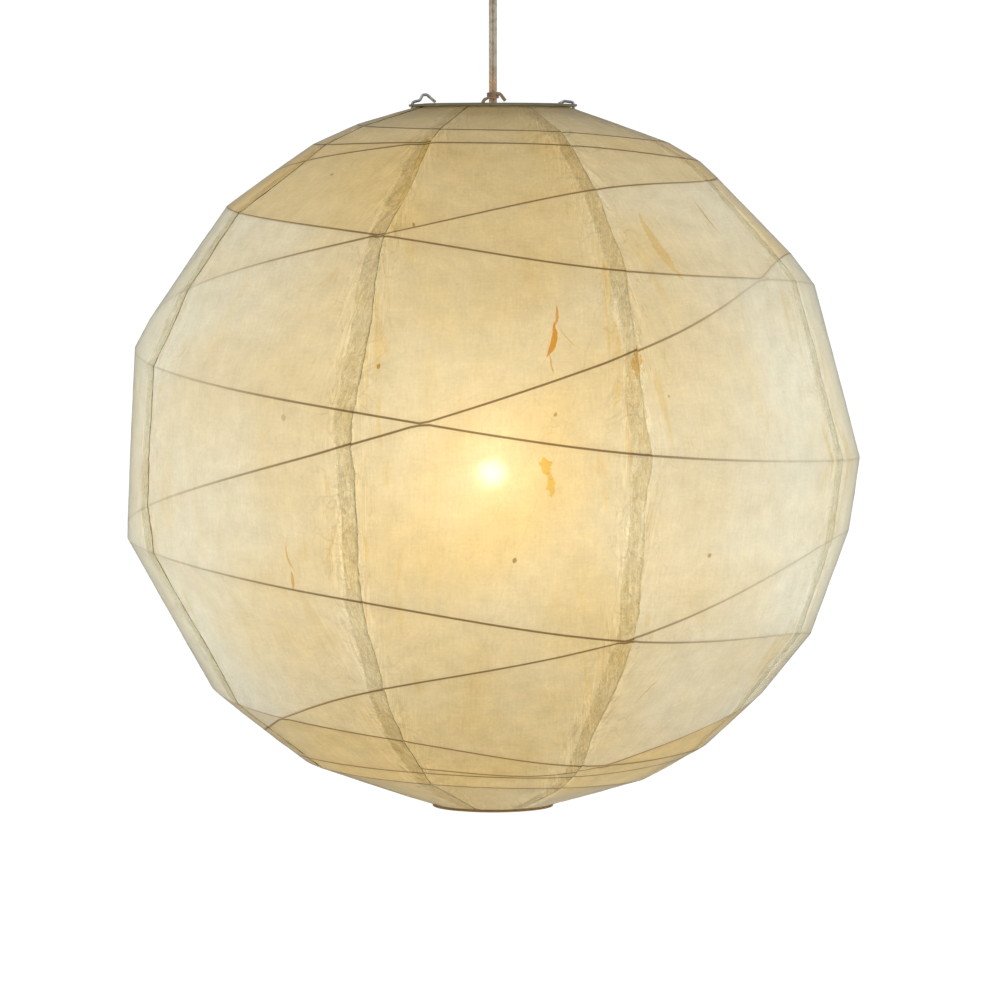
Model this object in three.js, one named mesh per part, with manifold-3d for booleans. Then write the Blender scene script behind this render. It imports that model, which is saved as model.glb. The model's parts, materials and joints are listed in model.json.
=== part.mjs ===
// A round paper pendant lantern on a cord: paper gores over wire ribs that cross
// each other, two rim rings, a wire hanger tied to the cord, a lamp holder with
// its bulb, and the ceiling rose that the cord hangs from.
// Millimetres, +Z up. The origin is on the ceiling, on the cord's axis.
import * as THREE from 'three';
import { mergeVertices } from 'three/addons/utils/BufferGeometryUtils.js';
import Module from 'manifold-3d';

const wasm = await Module();
wasm.setup();

// ---------- driving dimensions ----------
const CEILING_TO_CENTRE = 395; // ceiling face down to the middle of the globe

const GLOBE_RADIUS = 275; // the globe's half width
const CROWN_HEIGHT = 268.5; // half height of the upper half's ellipse
const FOOT_HEIGHT = 265; // half height of the lower half's ellipse
const BULGE = 7; // how far the hand-made globe stands out on its -X side
const BULGE_CENTRE = 20;
const BULGE_REACH = 230;

const PAPER = 0.6; // paper thickness
const GAP = 0.4; // clearance between pieces that touch
const RIB_RADIUS = 1;
const RIB_STEP = 2.3; // how much deeper the crossing ribs lie than the long spiral

const GORES = 8;
const GORE_ANGLE = 360 / GORES;
const FIRST_SEAM = -157.5; // azimuth in degrees; 0 is the front (-Y), +90 is +X
const COLUMNS = 5; // facets across one gore

const TOP_RING_RADIUS = 56;
const TOP_RING_HEIGHT = 260;
const BOTTOM_RING_RADIUS = 43;
const BOTTOM_RING_HEIGHT = -259;
const RING_WIRE = 1.5; // wire radius of both rings
const TOP_RIM_HEIGHT = 263;
const BOTTOM_RIM_HEIGHT = -261.8;

const CORD_RADIUS = 3;
const HANGER_WIRE = 1.1; // wire radius of the hanger
const HANGER_HEIGHT = 256.8;
const EYE_RADIUS = 8.5; // the hanger's eye round the cord

const HOLDER_TOP = 98; // top of the lamp holder's cap
const HOLDER_MOUTH = 36;
const HOLDER_RADIUS = 21;
const BULB_CENTRE = -10;
const BULB_RADIUS = 30;
const BULB_CAP_RADIUS = 13.1;
const BULB_CAP_FOOT = 40; // where the bulb's cap starts, above the glass
const BULB_TIP = 67; // the bulb's centre contact

const ROSE_RADIUS = 45;
const ROSE_DEPTH = 33;
const ROSE_WALL = 1.6;
const CORD_TOP = CEILING_TO_CENTRE - 14; // the cord ends under the terminal block

// Each rib is a wire wound round the globe. heights gives its height above the
// globe's middle at every gore seam that it crosses, and way is its direction.
const LONG_SPIRAL = {
  name: 'rib_long_spiral', start: -157.5, way: 1, depth: 0,
  heights: [
    259, 253, 248, 245, 243, 237, 235, 234,
    235, 236, 234, 235, 233, 224, 219, 212,
    203, 194, 184, 169, 144, 134, 124, 114,
    105, 95, 73, 46, 15, 3, -2, -18,
    -37, -54, -64, -89, -119, -125, -143, -152,
    -158, -163, -178, -195, -217, -215, -214, -216,
    -219, -223, -228, -233, -237, -239, -243, -249,
    -256,
  ],
};
const OUTER_CROSSING = {
  name: 'rib_crossing_outer', start: -112.5, way: -1, depth: RIB_STEP,
  heights: [
    238, 230, 222, 215, 209, 202, 170, 128,
    68, 16, -29, -57, -57, -120, -158, -199,
    -211, -217, -220, -221, -224, -229, -225, -222,
    -226,
  ],
};
const INNER_CROSSING = {
  name: 'rib_crossing_inner', start: -22.5, way: -1, depth: RIB_STEP,
  heights: [
    237, 223, 203, 183, 164, 151, 150, 87,
    21, -32, -76, -109, -133, -157, -187, -225,
    -221,
  ],
};
const RIBS = [LONG_SPIRAL, OUTER_CROSSING, INNER_CROSSING];

// ---------- materials ----------
const finish = (color, roughness, metalness = 0) =>
  new THREE.MeshStandardMaterial({ color, roughness, metalness });
const paperFinish = finish('#ead9a6', 0.85);
const collarFinish = finish('#b9a57c', 0.85);
const ribFinish = finish('#8a7a5c', 0.6, 0.2);
const steelFinish = finish('#a9adad', 0.35, 1);
const cordFinish = finish('#9a8468', 0.45);
const tieFinish = finish('#6f5136', 0.7);
const plasticFinish = finish('#efece2', 0.4);
const ceramicFinish = finish('#f2efe8', 0.3);
const brassFinish = finish('#c6a255', 0.3, 1);
const glassFinish = finish('#fff6e2', 0.2);
const darkFinish = finish('#26221f', 0.3);

// ---------- small tools ----------
const radians = THREE.MathUtils.degToRad;
const full = new THREE.Group();
const lantern = new THREE.Group();
lantern.position.z = -CEILING_TO_CENTRE;
full.add(lantern);

function add(parent, name, geometry, material) {
  const mesh = new THREE.Mesh(geometry, material);
  mesh.name = name;
  parent.add(mesh);
  return mesh;
}

// The point at a radius, an azimuth in degrees and a height.
function around(radius, azimuth, height) {
  const a = radians(azimuth);
  return new THREE.Vector3(radius * Math.sin(a), -radius * Math.cos(a), height);
}

// A solid of revolution about Z from a closed outline of [radius, height] points,
// given anticlockwise as seen with the radius to the right.
function turned(outline, sides) {
  const points = outline.map(([radius, height]) => new THREE.Vector2(radius, height));
  const open = outline[0][0] === 0 && outline.at(-1)[0] === 0;
  if (!open) points.push(points[0].clone());
  const geometry = new THREE.LatheGeometry(points, sides);
  geometry.rotateX(Math.PI / 2);
  return geometry;
}

// A route whose sweep has exactly one ring of vertices at each of its points.
class Route extends THREE.Curve {
  constructor(points) {
    super();
    this.points = points;
  }

  getPoint(t) {
    const last = this.points.length - 1;
    const place = THREE.MathUtils.clamp(t, 0, 1) * last;
    const before = Math.min(Math.floor(place), last - 1);
    return this.points[before].clone().lerp(this.points[before + 1], place - before);
  }

  getTangent(t) {
    const last = this.points.length - 1;
    const place = Math.round(THREE.MathUtils.clamp(t, 0, 1) * last);
    const here = this.points[place];
    const tangent = new THREE.Vector3();
    if (place > 0) tangent.add(here.clone().sub(this.points[place - 1]).normalize());
    if (place < last) tangent.add(this.points[place + 1].clone().sub(here).normalize());
    return tangent.normalize();
  }

  getUtoTmapping(u) {
    return u;
  }
}

// A round wire along a list of points.
function wire(points, radius, sides) {
  const section = new THREE.Shape();
  for (let i = 0; i < sides; i += 1) {
    const a = (2 * Math.PI * i) / sides;
    const method = i ? 'lineTo' : 'moveTo';
    section[method](radius * Math.cos(a), radius * Math.sin(a));
  }
  return new THREE.ExtrudeGeometry(section, {
    steps: points.length - 1, extrudePath: new Route(points),
  });
}

// The corner points joined by straight lines, with each corner bent to a radius.
function bent(corners, radius, steps = 4) {
  const points = [corners[0]];
  for (let i = 1; i < corners.length - 1; i += 1) {
    const corner = corners[i];
    const back = corners[i - 1].clone().sub(corner);
    const ahead = corners[i + 1].clone().sub(corner);
    const half = back.angleTo(ahead) / 2;
    const reach = Math.min(radius / Math.tan(half), 0.49 * back.length(), 0.49 * ahead.length());
    const from = corner.clone().addScaledVector(back.normalize(), reach);
    const to = corner.clone().addScaledVector(ahead.normalize(), reach);
    const bend = new THREE.QuadraticBezierCurve3(from, corner, to);
    points.push(...bend.getPoints(steps));
  }
  points.push(corners.at(-1));
  return points;
}

// A wire ring about Z.
function ring(radius, wireRadius, height, steps = 40, sides = 6) {
  const geometry = new THREE.TorusGeometry(radius, wireRadius, sides, steps);
  geometry.translate(0, 0, height);
  return geometry;
}

function cylinder(radius, from, to, sides) {
  return turned([[0, from], [radius, from], [radius, to], [0, to]], sides);
}

function box(width, depth, height, x, y, z) {
  const geometry = new THREE.BoxGeometry(width, depth, height);
  geometry.translate(x, y, z);
  return geometry;
}

function toSolid(geometry) {
  const bare = geometry.clone();
  bare.deleteAttribute('normal');
  bare.deleteAttribute('uv');
  const merged = mergeVertices(bare, 1e-4);
  return new wasm.Manifold(new wasm.Mesh({
    numProp: 3,
    vertProperties: new Float32Array(merged.attributes.position.array),
    triVerts: new Uint32Array(merged.index.array),
  }));
}

function toGeometry(solid) {
  const mesh = solid.getMesh();
  const geometry = new THREE.BufferGeometry();
  geometry.setAttribute('position', new THREE.BufferAttribute(mesh.vertProperties, 3));
  geometry.setIndex(new THREE.BufferAttribute(mesh.triVerts, 1));
  geometry.computeVertexNormals();
  return geometry;
}

function cut(geometry, ...tools) {
  return toGeometry(tools.reduce((solid, tool) => solid.subtract(toSolid(tool)), toSolid(geometry)));
}

function joined(...geometries) {
  return toGeometry(geometries.map(toSolid).reduce((a, b) => a.add(b)));
}

// ---------- the globe ----------
// The globe's radius at a height: two half ellipses, fuller towards -X.
function globeRadius(azimuth, height) {
  const half = height > 0 ? CROWN_HEIGHT : FOOT_HEIGHT;
  const ellipse = GLOBE_RADIUS * Math.sqrt(Math.max(0, 1 - (height / half) ** 2));
  const side = Math.max(0, Math.cos(radians(azimuth + 90))) ** 2;
  const belt = Math.max(0, 1 - ((height - BULGE_CENTRE) / BULGE_REACH) ** 2);
  return ellipse + BULGE * side * belt;
}

// A point under the globe's skin as [radius, height], at a depth along the normal.
function under(azimuth, height, depth) {
  const half = height > 0 ? CROWN_HEIGHT : FOOT_HEIGHT;
  const radius = globeRadius(azimuth, height);
  const outward = new THREE.Vector2(radius / GLOBE_RADIUS ** 2, height / half ** 2).normalize();
  return [radius - depth * outward.x, height - depth * outward.y];
}

// A rib's height after a number of seams, by a Catmull-Rom curve.
function heightAlong(rib, seams) {
  const last = rib.heights.length - 1;
  const i = THREE.MathUtils.clamp(Math.floor(seams), 0, last - 1);
  const t = seams - i;
  const b = rib.heights[i];
  const c = rib.heights[i + 1];
  const a = i > 0 ? rib.heights[i - 1] : 2 * b - c;
  const d = i < last - 1 ? rib.heights[i + 2] : 2 * c - b;
  return b + 0.5 * t * (c - a + t * (2 * a - 5 * b + 4 * c - d + t * (3 * (b - c) + d - a)));
}

// Every height at which a rib passes an azimuth of the gore with this middle.
function crossings(rib, azimuth, goreMiddle) {
  const turnsBefore = Math.floor((rib.way * (goreMiddle - rib.start)) / 360);
  const first = (rib.way * (azimuth - rib.start) - 360 * turnsBefore) / GORE_ANGLE;
  const turns = (rib.heights.length - 1) / GORES;
  return Array.from({ length: turns }, (_, turn) => ({
    height: heightAlong(rib, first + GORES * turn), depth: rib.depth,
  }));
}

// The paper's outline at one azimuth, from the top rim to the bottom rim: it runs
// straight from rib to rib, and passes clear over a rib that lies inside that line.
function paperOutline(azimuth, goreMiddle) {
  const held = RIBS.flatMap((rib) => crossings(rib, azimuth, goreMiddle));
  held.sort((a, b) => b.height - a.height);
  const rims = [{ height: TOP_RIM_HEIGHT, depth: 0 }, { height: BOTTOM_RIM_HEIGHT, depth: 0 }];
  const knots = [rims[0], ...held, rims[1]];
  const closest = 1.5;
  for (let i = 1; i < knots.length - 1; i += 1) {
    knots[i] = { ...knots[i], height: Math.min(knots[i].height, knots[i - 1].height - closest) };
  }
  const points = knots.map(({ height, depth }) => under(azimuth, height, depth));
  const tight = [0];
  for (let i = 1; i < points.length; i += 1) {
    while (tight.length > 1 && !turnsOut(points[tight.at(-2)], points[tight.at(-1)], points[i])) {
      tight.pop();
    }
    tight.push(i);
  }
  for (let k = 1; k < tight.length; k += 1) {
    const [from, to] = [tight[k - 1], tight[k]];
    for (let i = from + 1; i < to; i += 1) {
      const share = (points[i][1] - points[from][1]) / (points[to][1] - points[from][1]);
      points[i][0] = points[from][0] + share * (points[to][0] - points[from][0]);
    }
  }
  return points;
}

// True where the middle point stands outside the line from a down to c.
function turnsOut(a, b, c) {
  return (b[0] - a[0]) * (c[1] - a[1]) - (b[1] - a[1]) * (c[0] - a[0]) < 0;
}

// One gore: outer and inner skins of the same grid, closed round their edges.
function gore(index) {
  const start = FIRST_SEAM + GORE_ANGLE * index;
  const middle = start + GORE_ANGLE / 2;
  const skins = [0, PAPER].map((depth) => {
    const columns = [];
    for (let c = 0; c <= COLUMNS; c += 1) {
      const azimuth = start + (GORE_ANGLE * c) / COLUMNS;
      const outline = paperOutline(azimuth, middle);
      columns.push(outline.map(([radius, height], row) => {
        const before = outline[Math.max(row - 1, 0)];
        const after = outline[Math.min(row + 1, outline.length - 1)];
        const outward = new THREE.Vector2(before[1] - after[1], after[0] - before[0]).normalize();
        const r = radius - depth * outward.x;
        const inset = c === 0 ? GAP / 2 : c === COLUMNS ? -GAP / 2 : 0;
        const turn = THREE.MathUtils.radToDeg(inset / r);
        return around(r, azimuth + turn, height - depth * outward.y);
      }));
    }
    return columns;
  });
  const rows = skins[0][0].length;
  const positions = [];
  const quad = (a, b, c, d) => {
    for (const p of [a, b, c, a, c, d]) positions.push(p.x, p.y, p.z);
  };
  const [outer, inner] = skins;
  for (let c = 0; c < COLUMNS; c += 1) {
    for (let r = 0; r < rows - 1; r += 1) {
      quad(outer[c][r], outer[c][r + 1], outer[c + 1][r + 1], outer[c + 1][r]);
      quad(inner[c][r], inner[c + 1][r], inner[c + 1][r + 1], inner[c][r + 1]);
    }
    quad(outer[c][0], outer[c + 1][0], inner[c + 1][0], inner[c][0]);
    quad(outer[c][rows - 1], inner[c][rows - 1], inner[c + 1][rows - 1], outer[c + 1][rows - 1]);
  }
  for (let r = 0; r < rows - 1; r += 1) {
    quad(outer[0][r], inner[0][r], inner[0][r + 1], outer[0][r + 1]);
    const [o, i] = [outer[COLUMNS], inner[COLUMNS]];
    quad(o[r], o[r + 1], i[r + 1], i[r]);
  }
  const geometry = new THREE.BufferGeometry();
  geometry.setAttribute('position', new THREE.Float32BufferAttribute(positions, 3));
  return mergeVertices(geometry, 1e-4);
}

function ribWire(rib) {
  const steps = (rib.heights.length - 1) * COLUMNS;
  const points = [];
  for (let i = 0; i <= steps; i += 1) {
    const seams = i / COLUMNS;
    const azimuth = rib.start + rib.way * GORE_ANGLE * seams;
    const depth = PAPER + GAP + RIB_RADIUS + rib.depth;
    const [radius, height] = under(azimuth, heightAlong(rib, seams), depth);
    points.push(around(radius, azimuth, height));
  }
  return wire(points, RIB_RADIUS, 4);
}

// ---------- shade ----------
const slot = 3.4; // width of the slots where the hanger's hooks pass the rim
const hookSlots = [-1, 1].map((side) => box(11, slot, 24, side * 59.2, 0, TOP_RIM_HEIGHT));

for (let i = 0; i < GORES; i += 1) {
  const middle = FIRST_SEAM + GORE_ANGLE * (i + 0.5);
  const hooked = Math.abs(Math.abs(middle) - 90) < 1;
  const shape = hooked ? cut(gore(i), ...hookSlots) : gore(i);
  add(lantern, `paper_gore_${i + 1}`, shape, paperFinish);
}
for (const rib of RIBS) add(lantern, rib.name, ribWire(rib), ribFinish);

add(lantern, 'top_ring', ring(TOP_RING_RADIUS, RING_WIRE, TOP_RING_HEIGHT), steelFinish);
add(lantern, 'bottom_ring', ring(BOTTOM_RING_RADIUS, RING_WIRE, BOTTOM_RING_HEIGHT), steelFinish);

// A paper band folded over a rim, its flange on the gores and its hem inside the ring.
function rimCollar(hemRadius, flangeRadius, rim, flangeHeight, hemHeight, way) {
  const outline = [
    [hemRadius - PAPER, hemHeight],
    [hemRadius, hemHeight],
    [hemRadius, rim],
    [flangeRadius, flangeHeight],
    [flangeRadius, flangeHeight + way * PAPER],
    [hemRadius - PAPER, rim + way * PAPER],
  ];
  return turned(way > 0 ? outline : outline.reverse(), 40);
}
const topCollar = rimCollar(52.8, 63, 264.4, 262.6, 258.4, 1);
add(lantern, 'top_collar', cut(topCollar, ...hookSlots), collarFinish);
add(lantern, 'bottom_collar', rimCollar(40.4, 45.6, -263.2, -262.4, -250, -1), collarFinish);

// ---------- hanger ----------
// One wire: an eye round the cord, and at each end a hook that goes under the top
// ring, out through the paper and back over the rim. Corners are [x, height].
const HOOKS = {
  left: [[60.4, HANGER_HEIGHT], [60.4, 266], [54.6, 267.4], [52.6, 271.6], [49.4, 271.6], [43, 266]],
  right: [[60.4, HANGER_HEIGHT], [60.4, 266], [53.6, 266.8], [49.2, 264.8]],
};
function hook(side, corners) {
  const route = [[50, HANGER_HEIGHT], ...corners];
  return bent(route.map(([x, z]) => new THREE.Vector3(side * x, 0, z)), 2.4, 4);
}
const eye = [];
const eyeSteps = 20;
const eyeRise = 2.9;
for (let i = 0; i <= eyeSteps; i += 1) {
  const share = i / eyeSteps;
  const azimuth = THREE.MathUtils.lerp(-10, 370, share);
  eye.push(around(EYE_RADIUS, azimuth, HANGER_HEIGHT + eyeRise * share));
}
const hangerPoints = [...hook(-1, HOOKS.left).reverse(), ...eye, ...hook(1, HOOKS.right)];
add(lantern, 'hanger_wire', wire(hangerPoints, HANGER_WIRE, 6), steelFinish);

// ---------- cord ----------
const cordPoints = [];
const cordFoot = HOLDER_TOP - 6;
for (let i = 0; i <= 16; i += 1) {
  cordPoints.push(new THREE.Vector3(0, 0, THREE.MathUtils.lerp(cordFoot, CORD_TOP, i / 16)));
}
add(lantern, 'flex_cord', wire(cordPoints, CORD_RADIUS, 10), cordFinish);

// The tie: a band round the cord above the hanger's eye, with its two twisted ends.
const TIE_HEIGHT = 271.5;
const TIE_RADIUS = 1.4;
const TIE_INNER = CORD_RADIUS + GAP;
const tieBand = turned([
  [TIE_INNER, TIE_HEIGHT - 3], [TIE_INNER + 1.3, TIE_HEIGHT - 3],
  [TIE_INNER + 1.3, TIE_HEIGHT + 1.5], [TIE_INNER, TIE_HEIGHT + 1.5],
], 16);
const tieEnds = [[-4.4, -8.2, 264], [4.4, 9.2, 267.4]].map(([root, tip, height]) => wire([
  new THREE.Vector3(root, -0.6, TIE_HEIGHT),
  new THREE.Vector3((root + tip) / 2, -0.8, (TIE_HEIGHT + height) / 2 + 0.6),
  new THREE.Vector3(tip, -1, height),
], TIE_RADIUS, 6));
add(lantern, 'cord_tie', joined(tieBand, ...tieEnds), tieFinish);

// ---------- lamp holder ----------
const holder = new THREE.Group();
lantern.add(holder);
const capFoot = 74; // where the holder's cap screws on to its body
const wall = 2;
const clampRadius = CORD_RADIUS + GAP;

add(holder, 'holder_cap', turned([
  [HOLDER_RADIUS - wall, capFoot], [HOLDER_RADIUS, capFoot], [HOLDER_RADIUS, capFoot + 8],
  [17, capFoot + 15], [9, capFoot + 18], [7, HOLDER_TOP], [clampRadius + 1.9, HOLDER_TOP],
  [clampRadius + 1.9, 91], [7, 89.6], [15, capFoot + 13], [HOLDER_RADIUS - wall, capFoot + 7],
], 24), plasticFinish);
add(holder, 'holder_body', turned([
  [HOLDER_RADIUS - 4, HOLDER_MOUTH], [HOLDER_RADIUS - 1.5, HOLDER_MOUTH],
  [HOLDER_RADIUS - 1.5, 70], [HOLDER_RADIUS, 70], [HOLDER_RADIUS, capFoot - GAP],
  [HOLDER_RADIUS - 4, capFoot - GAP],
], 24), plasticFinish);
add(holder, 'holder_ring', turned([
  [HOLDER_RADIUS - 1, 42], [HOLDER_RADIUS + 5, 42], [HOLDER_RADIUS + 5, 45],
  [HOLDER_RADIUS + 1, 45], [HOLDER_RADIUS + 1, 52], [HOLDER_RADIUS - 1, 52],
], 24), plasticFinish);
add(holder, 'cord_grip', turned([
  [clampRadius, 84], [6.2, 84], [6.2, 88.8], [clampRadius + 1.4, 91.4],
  [clampRadius + 1.4, 96], [clampRadius, 96],
], 12), darkFinish);

const insert = cylinder(HOLDER_RADIUS - 4.5, 69.2, 79, 20);
const pockets = [-1, 1].map((side) => box(5, 6, 5, side * 9.5, 0, 78));
add(holder, 'holder_insert', cut(insert, ...pockets), ceramicFinish);
const screwHead = (side) => {
  const head = cylinder(1.9, 75.9, 78.4, 10);
  head.translate(side * 9.5, 0, 0);
  return head;
};
add(holder, 'terminal_screw_left', screwHead(-1), brassFinish);
add(holder, 'terminal_screw_right', screwHead(1), brassFinish);
add(holder, 'screw_shell', turned([
  [14, 40], [14.8, 40], [14.8, 68.8], [9, 68.8], [9, 68.2], [14, 68.2],
], 20), brassFinish);
add(holder, 'centre_contact', box(7, 3, 0.7, 0, 0, 68.3), brassFinish);

// ---------- bulb ----------
const bulb = new THREE.Group();
lantern.add(bulb);
function bulbOutline(inset) {
  const radius = BULB_RADIUS - inset;
  const points = [];
  for (let a = -90; a <= 40; a += 13) {
    const turn = radians(a);
    points.push([radius * Math.cos(turn), BULB_CENTRE + radius * Math.sin(turn)]);
  }
  points[0][0] = 0;
  points.push([15.6 - inset, 24], [12.4 - inset, 36], [12.2 - inset, BULB_CAP_FOOT + 2]);
  return points;
}
const glass = [...bulbOutline(0), ...bulbOutline(0.9).reverse()];
add(bulb, 'bulb_glass', turned(glass, 20), glassFinish);
add(bulb, 'bulb_cap', turned([
  [12.5, BULB_CAP_FOOT - 0.5], [BULB_CAP_RADIUS, BULB_CAP_FOOT - 0.5],
  [BULB_CAP_RADIUS, 60], [9.4, 63.6], [8.8, 63.2], [12.5, 59.6],
], 20), brassFinish);
add(bulb, 'bulb_cap_insulator', turned([
  [4.6, 62.4], [8.4, 62.4], [8.4, 64.2], [5.6, 66.2], [4.6, 66.2],
], 12), darkFinish);
add(bulb, 'bulb_tip_contact', cylinder(4.2, 63.4, BULB_TIP, 10), brassFinish);
add(bulb, 'bulb_stem', turned([
  [0, 2], [1.6, 2], [2.4, 22], [7.4, 38], [7.4, 40.6], [0, 40.6],
], 12), glassFinish);
const filament = [];
for (let i = 0; i <= 24; i += 1) {
  filament.push(around(10, THREE.MathUtils.lerp(-150, 150, i / 24), -6 + 2 * Math.cos(i)));
}
add(bulb, 'bulb_filament', wire(filament, 0.8, 6), brassFinish);

// ---------- ceiling rose ----------
const rose = new THREE.Group();
full.add(rose);
const cordHole = CORD_RADIUS + 2.6;
const screwHeight = -8; // the side screws that hold the cup to the bracket
const screwRadius = 1.4;

// A solid of revolution laid along X, from the axis outwards on one side.
function sideways(outline, side, from) {
  const geometry = turned(outline, 12);
  geometry.rotateY((side * Math.PI) / 2);
  geometry.translate(side * from, 0, screwHeight);
  return geometry;
}
const holeRadius = screwRadius + GAP;
const sideHoles = [-1, 1].map((side) => sideways(
  [[0, 0], [holeRadius, 0], [holeRadius, 14], [0, 14]], side, 34,
));

const cup = turned([
  [cordHole, -ROSE_DEPTH], [30, -ROSE_DEPTH], [ROSE_RADIUS - 4, -ROSE_DEPTH + 4],
  [ROSE_RADIUS, -ROSE_DEPTH + 12], [ROSE_RADIUS, -1], [ROSE_RADIUS - ROSE_WALL, -1],
  [ROSE_RADIUS - ROSE_WALL, -ROSE_DEPTH + 13], [ROSE_RADIUS - 6, -ROSE_DEPTH + 6],
  [29, -ROSE_DEPTH + ROSE_WALL + 0.6], [cordHole, -ROSE_DEPTH + ROSE_WALL + 0.6],
], 28);
add(rose, 'rose_cup', cut(cup, ...sideHoles), plasticFinish);

// The bracket: a flat bar on the ceiling with two ears that take the cup's screws.
const barHalf = 40;
const bar = box(2 * barHalf, 16, 2, 0, 0, -1);
const ears = [-1, 1].map((side) => box(2, 16, 13, side * (barHalf - 1), 0, -6.5));
const fixingHoles = [-1, 1].map((side) => {
  const hole = cylinder(2.2, -6, 6, 12);
  hole.translate(side * 26, 0, 0);
  return hole;
});
add(rose, 'ceiling_bracket', cut(joined(bar, ...ears), ...fixingHoles, ...sideHoles), steelFinish);
for (const [name, side] of [['rose_screw_left', -1], ['rose_screw_right', 1]]) {
  const screw = sideways([
    [0, 0], [screwRadius, 0], [screwRadius, 9], [3.2, 9], [3.2, 10.2], [1.6, 11], [0, 11],
  ], side, ROSE_RADIUS + 0.3 - 9);
  add(rose, name, screw, steelFinish);
}
const terminals = box(22, 12, 10, 0, 0, -7.5);
const leads = [-1, 1].map((side) => box(5, 14, 4, side * 5.5, 0, -8.5));
add(rose, 'terminal_block', cut(terminals, ...leads), plasticFinish);

// The knot that stops the cord in the cup's hole. Its bore opens upwards, so that
// the cord can lean either way about its pivot in the hole.
const CORD_PIVOT = -31;
const LEAN = radians(12);
const knotBore = (height) => CORD_RADIUS / Math.cos(LEAN) + (height - CORD_PIVOT) * Math.tan(LEAN) + GAP;
const knotFoot = -28.2;
const knotTop = -22;
add(rose, 'cord_knot', turned([
  [knotBore(knotFoot), knotFoot], [7.6, knotFoot], [8.4, (knotFoot + knotTop) / 2],
  [7.6, knotTop], [knotBore(knotTop), knotTop],
], 12), darkFinish);

export default full;
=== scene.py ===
import json
import math
import random

import bpy
import numpy as np
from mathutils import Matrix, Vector, noise

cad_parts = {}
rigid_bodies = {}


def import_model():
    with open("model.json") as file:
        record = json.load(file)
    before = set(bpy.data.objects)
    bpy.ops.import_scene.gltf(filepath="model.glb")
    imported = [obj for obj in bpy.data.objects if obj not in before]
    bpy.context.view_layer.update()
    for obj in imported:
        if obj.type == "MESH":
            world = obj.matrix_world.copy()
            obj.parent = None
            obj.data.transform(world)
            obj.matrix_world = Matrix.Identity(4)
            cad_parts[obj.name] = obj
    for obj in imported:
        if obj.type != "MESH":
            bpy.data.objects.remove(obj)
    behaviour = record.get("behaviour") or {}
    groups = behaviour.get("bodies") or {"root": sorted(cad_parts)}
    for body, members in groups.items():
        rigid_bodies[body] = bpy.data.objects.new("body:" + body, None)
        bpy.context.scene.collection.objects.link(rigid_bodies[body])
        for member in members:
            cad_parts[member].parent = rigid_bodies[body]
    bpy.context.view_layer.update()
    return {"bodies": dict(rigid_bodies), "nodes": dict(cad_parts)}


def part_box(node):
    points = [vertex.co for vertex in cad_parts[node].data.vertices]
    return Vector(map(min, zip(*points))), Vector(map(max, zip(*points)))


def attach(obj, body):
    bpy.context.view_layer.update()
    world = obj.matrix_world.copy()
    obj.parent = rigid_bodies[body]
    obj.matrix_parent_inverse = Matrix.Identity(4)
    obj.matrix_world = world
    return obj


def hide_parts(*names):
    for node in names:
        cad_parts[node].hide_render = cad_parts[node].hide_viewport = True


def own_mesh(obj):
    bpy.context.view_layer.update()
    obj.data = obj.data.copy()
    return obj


# The looks of a round paper pendant lantern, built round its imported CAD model.
# Metres, +Z up, origin on the ceiling. Heights called "level" are measured from
# the middle of the globe.
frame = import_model()

MM = 0.001
CENTRE = Vector((0, 0, -0.395))  # the middle of the globe

# ---------- driving dimensions ----------
GORES = 8
GORE_ANGLE = 360 / GORES
FIRST_SEAM = -157.5  # azimuth in degrees; 0 is the front (-Y) and +90 is +X
RIBS = {  # where each rib starts and which way it is wound
    "rib_long_spiral": (-157.5, 1),
    "rib_crossing_outer": (-112.5, -1),
    "rib_crossing_inner": (-22.5, -1),
}
RIB_STEP = 9  # degrees between two sections of a rib in the CAD model
STEPS_A_TURN = 360 // RIB_STEP
RIB_RADIUS = 1.0 * MM
PAPER = 0.3 * MM
OVER_RIB = 2.05 * MM  # from a rib's centre line to the paper's outer face
LAP = 7.0 * MM  # how far a gore reaches past its seam, on each side
RIM_LAP = 4.2 * MM  # the same, close to the rims
UNDER_LAP = 0.55 * MM  # how much deeper the lower sheet of a lap lies


def corners(node):
    """The distinct vertices of a CAD node, as an array."""
    found = np.array([v.co for v in frame["nodes"][node].data.vertices], float)
    return np.unique(np.round(found, 6), axis=0)


def ring_of(node):
    """(radius, height) of the centre line of a CAD wire ring, and its wire's radius."""
    low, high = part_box(node)
    wire = (high.z - low.z) / 2
    return high.x - wire, (low.z + high.z) / 2, wire


TOP_RING = ring_of("top_ring")
BOTTOM_RING = ring_of("bottom_ring")
RIM_DROP = 2.8 * MM  # how far below the bottom ring's centre line the paper's edge is

# ---------- camera ----------
CAMERA_DISTANCE = 3.9
CAMERA_HEIGHT_ANGLE = math.radians(3.5)
AIM = CENTRE + Vector((0.0053, 0, -0.0323))  # the lantern stands high in the frame

camera_data = bpy.data.cameras.new("camera")
camera_data.lens = 186.7
camera_data.sensor_width = 36
camera = bpy.data.objects.new("camera", camera_data)
bpy.context.scene.collection.objects.link(camera)
away = Vector((0, -math.cos(CAMERA_HEIGHT_ANGLE), math.sin(CAMERA_HEIGHT_ANGLE)))
camera.location = AIM + CAMERA_DISTANCE * away
camera.rotation_euler = (-away).to_track_quat("-Z", "Y").to_euler()
bpy.context.scene.camera = camera
bpy.context.scene.view_settings.view_transform = "Standard"


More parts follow.
